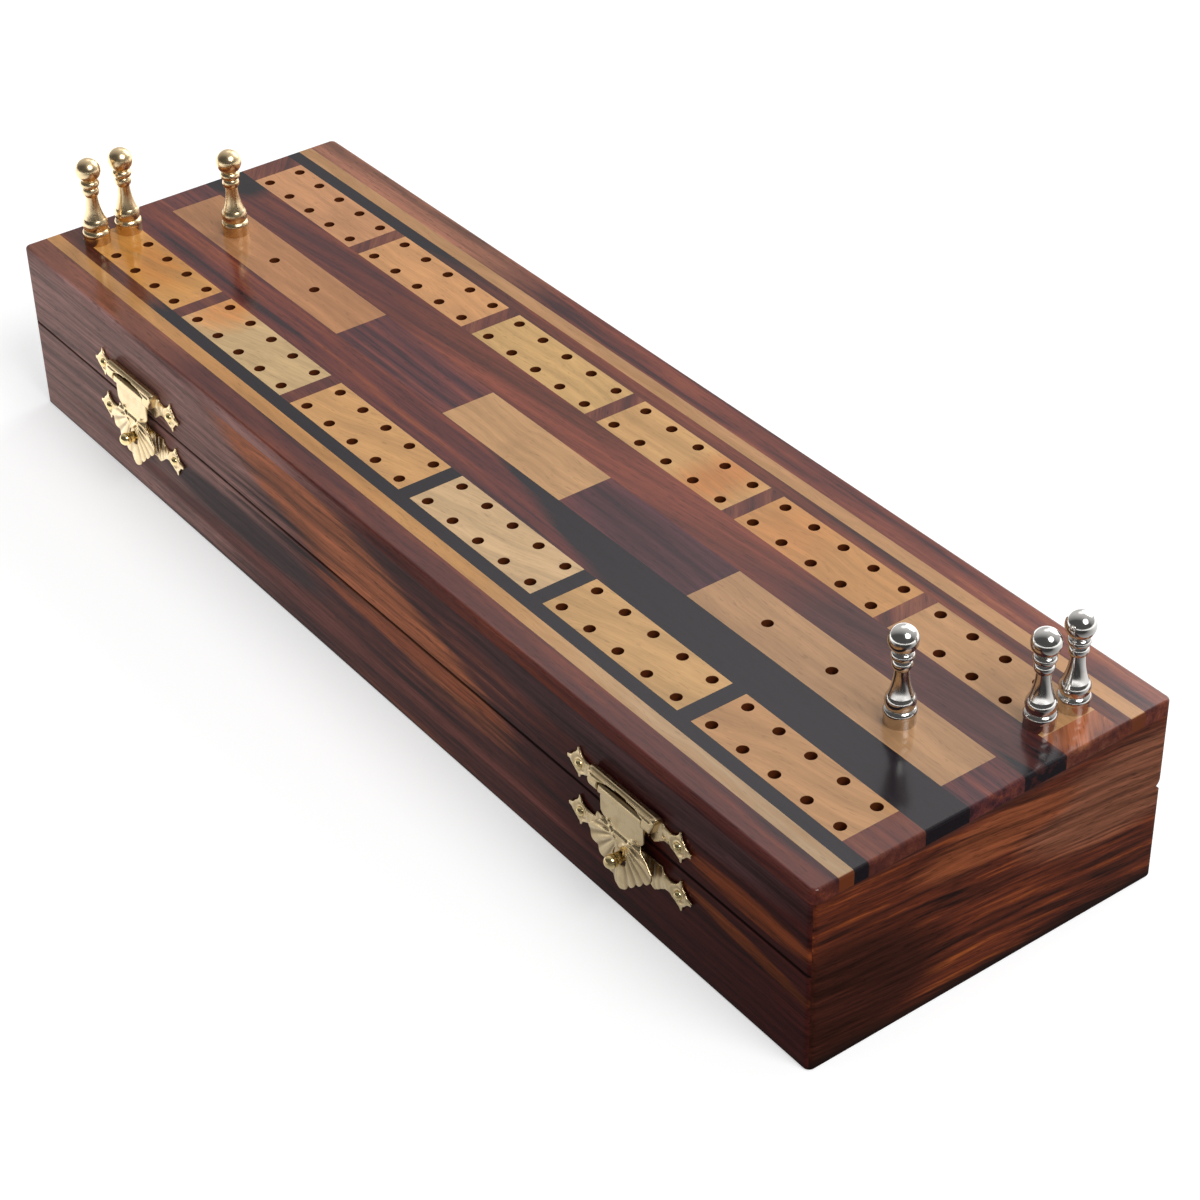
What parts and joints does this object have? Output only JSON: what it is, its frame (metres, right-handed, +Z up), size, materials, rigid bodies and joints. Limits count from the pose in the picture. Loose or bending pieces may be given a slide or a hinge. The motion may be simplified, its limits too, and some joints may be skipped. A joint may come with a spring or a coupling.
{
  "type": "hinged cribbage box",
  "caption": "Long rosewood box whose hinged lid is an inlaid cribbage board, with two brass clasps and metal pegs.",
  "frame": {"origin": "centre of the underside, which the box rests on", "axes": "+X along the box, towards the end with the nickel pegs; +Y towards the hinges, so the clasps face -Y; +Z up"},
  "size_m": [0.254, 0.0819, 0.0571],
  "materials": {
    "rosewood_case": "satin lacquer",
    "rosewood_face": "satin lacquer",
    "light_inlay": "satin lacquer",
    "dark_inlay": "satin lacquer",
    "maple": "satin lacquer",
    "plain_panel": "matt",
    "antique_brass": "antiqued, dull",
    "hinge_brass": "satin",
    "polished_brass": "polished",
    "bright_nickel": "polished"
  },
  "bodies": {
    "base": {"base_front_wall": "rosewood_case", "base_back_wall": "rosewood_case", "base_left_end": "rosewood_case", "base_right_end": "rosewood_case", "base_bottom_panel": "plain_panel", "hinge_base_leaf_left": "hinge_brass", "hinge_base_leaf_right": "hinge_brass", "hinge_pin_left": "hinge_brass", "hinge_pin_right": "hinge_brass", "hinge_nails_base": "hinge_brass", "clasp_lower_plate_left": "antique_brass", "clasp_lower_plate_right": "antique_brass", "clasp_knob_left": "antique_brass", "clasp_knob_right": "antique_brass", "clasp_nails_base": "antique_brass"},
    "lid": {"lid_front_wall": "rosewood_case", "lid_back_wall": "rosewood_case", "lid_left_end": "rosewood_case", "lid_right_end": "rosewood_case", "lid_core_panel": "plain_panel", "outer_strip_back": "rosewood_face", "outer_strip_front": "rosewood_face", "inner_strip_back": "rosewood_face", "inner_strip_front": "rosewood_face", "track_spacers_back": "rosewood_face", "track_spacers_front": "rosewood_face", "centre_fillers": "rosewood_face", "light_string_back": "light_inlay", "light_string_front": "light_inlay", "dark_strip_back": "dark_inlay", "dark_strip_front": "dark_inlay", "track_blocks_back": "maple", "track_blocks_front": "maple", "game_panel_left": "maple", "game_panel_right": "maple", "blank_panel": "maple", "hinge_lid_leaf_left": "hinge_brass", "clasp_upper_plate_left": "antique_brass", "clasp_pin_left": "antique_brass", "hinge_lid_leaf_right": "hinge_brass", "clasp_upper_plate_right": "antique_brass", "clasp_pin_right": "antique_brass", "hinge_nails_lid": "hinge_brass", "clasp_nails_lid": "antique_brass"},
    "left_flap": {"clasp_flap_left": "antique_brass"},
    "right_flap": {"clasp_flap_right": "antique_brass"},
    "brass_peg_1_body": {"brass_peg_1": "polished_brass"},
    "brass_peg_2_body": {"brass_peg_2": "polished_brass"},
    "brass_peg_3_body": {"brass_peg_3": "polished_brass"},
    "nickel_peg_1_body": {"nickel_peg_1": "bright_nickel"},
    "nickel_peg_2_body": {"nickel_peg_2": "bright_nickel"},
    "nickel_peg_3_body": {"nickel_peg_3": "bright_nickel"}
  },
  "joints": [
    {"name": "lid_hinge", "type": "hinge", "parent": "base", "child": "lid", "pos_m": [0, 0.0368, 0.0203], "axis": [-1, 0, 0], "range_deg": [0, 100]},
    {"name": "left_flap_hinge", "type": "hinge", "parent": "lid", "child": "left_flap", "pos_m": [-0.0814, -0.0396, 0.0261], "axis": [-1, 0, 0], "range_deg": [0, 90]},
    {"name": "right_flap_hinge", "type": "hinge", "parent": "lid", "child": "right_flap", "pos_m": [0.0814, -0.0396, 0.0261], "axis": [-1, 0, 0], "range_deg": [0, 90]},
    {"name": "brass_peg_1_lift", "type": "slide", "parent": "lid", "child": "brass_peg_1_body", "axis": [0, 0, 1], "range_m": [0, 0.015]},
    {"name": "brass_peg_2_lift", "type": "slide", "parent": "lid", "child": "brass_peg_2_body", "axis": [0, 0, 1], "range_m": [0, 0.015]},
    {"name": "brass_peg_3_lift", "type": "slide", "parent": "lid", "child": "brass_peg_3_body", "axis": [0, 0, 1], "range_m": [0, 0.015]},
    {"name": "nickel_peg_1_lift", "type": "slide", "parent": "lid", "child": "nickel_peg_1_body", "axis": [0, 0, 1], "range_m": [0, 0.015]},
    {"name": "nickel_peg_2_lift", "type": "slide", "parent": "lid", "child": "nickel_peg_2_body", "axis": [0, 0, 1], "range_m": [0, 0.015]},
    {"name": "nickel_peg_3_lift", "type": "slide", "parent": "lid", "child": "nickel_peg_3_body", "axis": [0, 0, 1], "range_m": [0, 0.015]}
  ]
}
